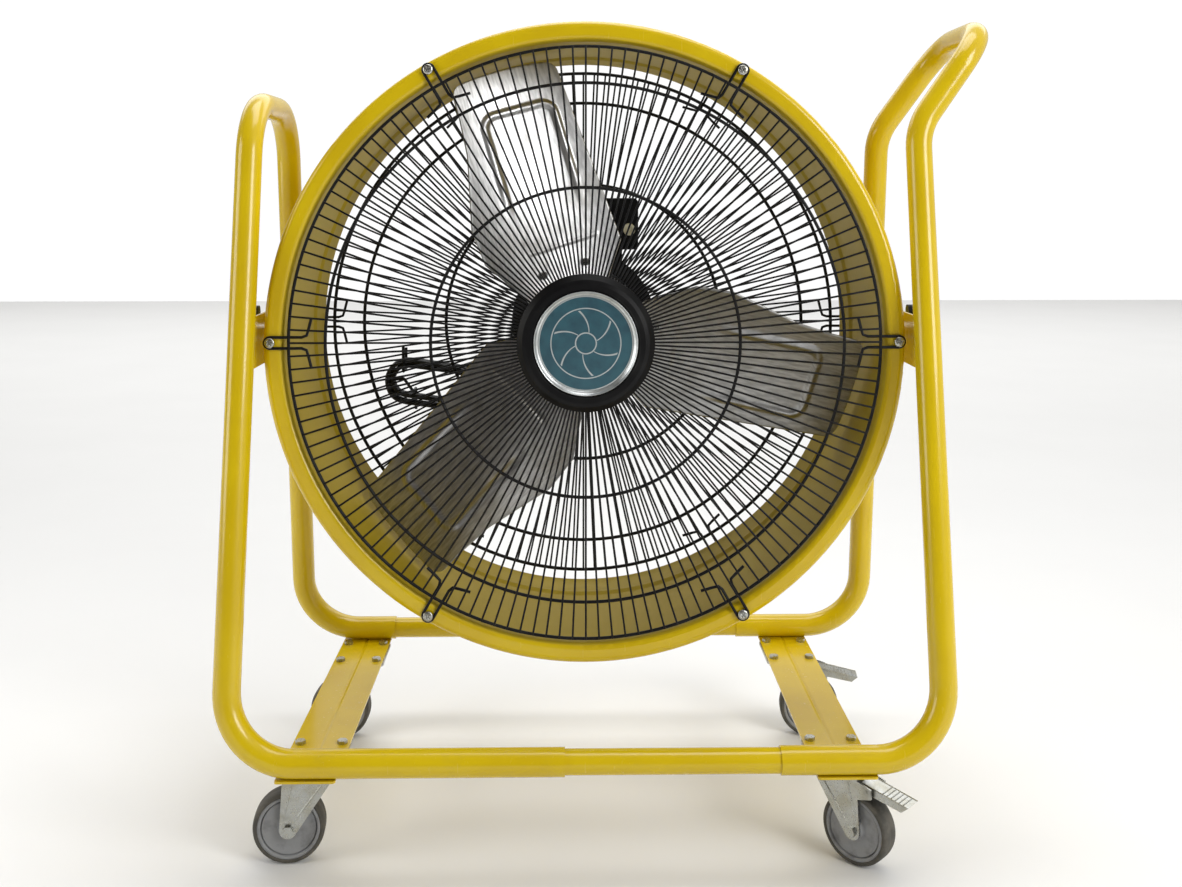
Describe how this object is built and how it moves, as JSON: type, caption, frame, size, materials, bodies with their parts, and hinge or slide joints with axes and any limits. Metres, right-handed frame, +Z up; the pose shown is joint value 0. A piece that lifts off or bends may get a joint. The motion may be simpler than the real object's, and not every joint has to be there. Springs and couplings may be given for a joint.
{
  "type": "drum fan",
  "caption": "Yellow steel drum fan with radial wire guards and aluminium blades, tilting in a tubular frame with a push handle and swivel castors, two of them braked",
  "frame": {"origin": "on the floor, below the middle of the drum's axis", "axes": "X across the fan to the right as seen from the air outlet, Y from the air outlet to the inlet, Z up"},
  "size_m": [1.1503, 0.584, 1.196],
  "materials": {
    "yellow_paint": "gloss",
    "zinc_steel": "satin",
    "black_wire_coat": "satin",
    "black_plastic": "satin",
    "teal_badge": "gloss",
    "motor_paint": "satin",
    "bright_steel": "satin",
    "core_steel": "matte",
    "cream_nylon": "satin",
    "dark_hub": "satin",
    "blade_aluminium": "satin",
    "cord_rubber": "matte",
    "wheel_grey": "satin",
    "tread_rubber": "matte"
  },
  "bodies": {
    "frame": {"side_frame_left": "yellow_paint", "side_frame_right": "yellow_paint", "front_cross_tube": "yellow_paint", "rear_cross_tube": "yellow_paint", "pivot_plate_left": "yellow_paint", "pivot_plate_right": "yellow_paint", "cross_plate_left": "yellow_paint", "cross_plate_right": "yellow_paint", "castor_plates": "zinc_steel", "castor_kingpins": "zinc_steel", "castor_bolts": "zinc_steel"},
    "drum": {"drum_shell": "yellow_paint", "front_guard": "black_wire_coat", "rear_guard": "black_wire_coat", "guard_screws": "zinc_steel", "hub_cap": "black_plastic", "badge": "teal_badge", "motor_plate": "black_wire_coat", "motor_housing": "motor_paint", "motor_rear_bell": "motor_paint", "motor_front_bell": "motor_paint", "motor_bearings": "bright_steel", "stator_core": "core_steel", "motor_bolts": "zinc_steel", "pivot_studs": "zinc_steel", "junction_box": "black_plastic", "box_lid": "black_plastic", "blanking_plug": "cream_nylon", "cable_gland": "black_plastic", "cord_hooks": "black_wire_coat", "power_cord": "cord_rubber", "cord_coil": "cord_rubber", "power_plug": "cord_rubber"},
    "impeller": {"motor_shaft": "bright_steel", "rotor_core": "core_steel", "fan_hub": "dark_hub", "blade_1": "blade_aluminium", "blade_2": "blade_aluminium", "blade_3": "blade_aluminium", "blade_rivets": "zinc_steel"},
    "knob_left": {"tilt_knob_left": "black_plastic"},
    "knob_right": {"tilt_knob_right": "black_plastic"},
    "castor_front_left": {"castor_fork_front_left": "zinc_steel", "castor_axle_front_left": "zinc_steel"},
    "wheel_front_left": {"wheel_hub_front_left": "wheel_grey", "wheel_tread_front_left": "tread_rubber"},
    "castor_rear_left": {"castor_fork_rear_left": "zinc_steel", "castor_axle_rear_left": "zinc_steel"},
    "wheel_rear_left": {"wheel_hub_rear_left": "wheel_grey", "wheel_tread_rear_left": "tread_rubber"},
    "castor_front_right": {"castor_fork_front_right": "zinc_steel", "castor_axle_front_right": "zinc_steel"},
    "wheel_front_right": {"wheel_hub_front_right": "wheel_grey", "wheel_tread_front_right": "tread_rubber"},
    "pedal_front_right": {"brake_pedal_front_right": "zinc_steel"},
    "castor_rear_right": {"castor_fork_rear_right": "zinc_steel", "castor_axle_rear_right": "zinc_steel"},
    "wheel_rear_right": {"wheel_hub_rear_right": "wheel_grey", "wheel_tread_rear_right": "tread_rubber"},
    "pedal_rear_right": {"brake_pedal_rear_right": "zinc_steel"}
  },
  "joints": [
    {"name": "drum_tilt", "type": "hinge", "parent": "frame", "child": "drum", "pos_m": [0, 0, 0.717], "axis": [1, 0, 0], "range_deg": [-90, 90]},
    {"name": "fan_spin", "type": "hinge", "parent": "drum", "child": "impeller", "pos_m": [0, -0.012, 0.717], "axis": [0, -1, 0], "continuous": true},
    {"name": "left_knob_turn", "type": "hinge", "parent": "drum", "child": "knob_left", "pos_m": [-0.52, 0, 0.717], "axis": [-1, 0, 0], "continuous": true},
    {"name": "right_knob_turn", "type": "hinge", "parent": "drum", "child": "knob_right", "pos_m": [0.52, 0, 0.717], "axis": [1, 0, 0], "continuous": true},
    {"name": "front_left_swivel", "type": "hinge", "parent": "frame", "child": "castor_front_left", "pos_m": [-0.38, -0.203, 0.13], "axis": [0, 0, 1], "continuous": true},
    {"name": "front_left_roll", "type": "hinge", "parent": "castor_front_left", "child": "wheel_front_left", "pos_m": [-0.41586, -0.20614, 0.05], "axis": [-0.0872, 0.9962, 0], "continuous": true},
    {"name": "rear_left_swivel", "type": "hinge", "parent": "frame", "child": "castor_rear_left", "pos_m": [-0.38, 0.203, 0.13], "axis": [0, 0, 1], "continuous": true},
    {"name": "rear_left_roll", "type": "hinge", "parent": "castor_rear_left", "child": "wheel_rear_left", "pos_m": [-0.41598, 0.20426, 0.05], "axis": [0.0349, 0.9994, 0], "continuous": true},
    {"name": "front_right_swivel", "type": "hinge", "parent": "frame", "child": "castor_front_right", "pos_m": [0.354, -0.203, 0.13], "axis": [0, 0, 1], "continuous": true},
    {"name": "front_right_roll", "type": "hinge", "parent": "castor_front_right", "child": "wheel_front_right", "pos_m": [0.38075, -0.22709, 0.05], "axis": [-0.6691, -0.7431, 0], "continuous": true},
    {"name": "front_right_brake", "type": "hinge", "parent": "castor_front_right", "child": "pedal_front_right", "pos_m": [0.3971, -0.24181, 0.11], "axis": [-0.6691, -0.7431, 0], "range_deg": [-10, 0]},
    {"name": "rear_right_swivel", "type": "hinge", "parent": "frame", "child": "castor_rear_right", "pos_m": [0.354, 0.203, 0.13], "axis": [0, 0, 1], "continuous": true},
    {"name": "rear_right_roll", "type": "hinge", "parent": "castor_rear_right", "child": "wheel_rear_right", "pos_m": [0.3898, 0.19924, 0.05], "axis": [-0.1045, -0.9945, 0], "continuous": true},
    {"name": "rear_right_brake", "type": "hinge", "parent": "castor_rear_right", "child": "pedal_rear_right", "pos_m": [0.41168, 0.19694, 0.11], "axis": [-0.1045, -0.9945, 0], "range_deg": [-10, 0]}
  ]
}
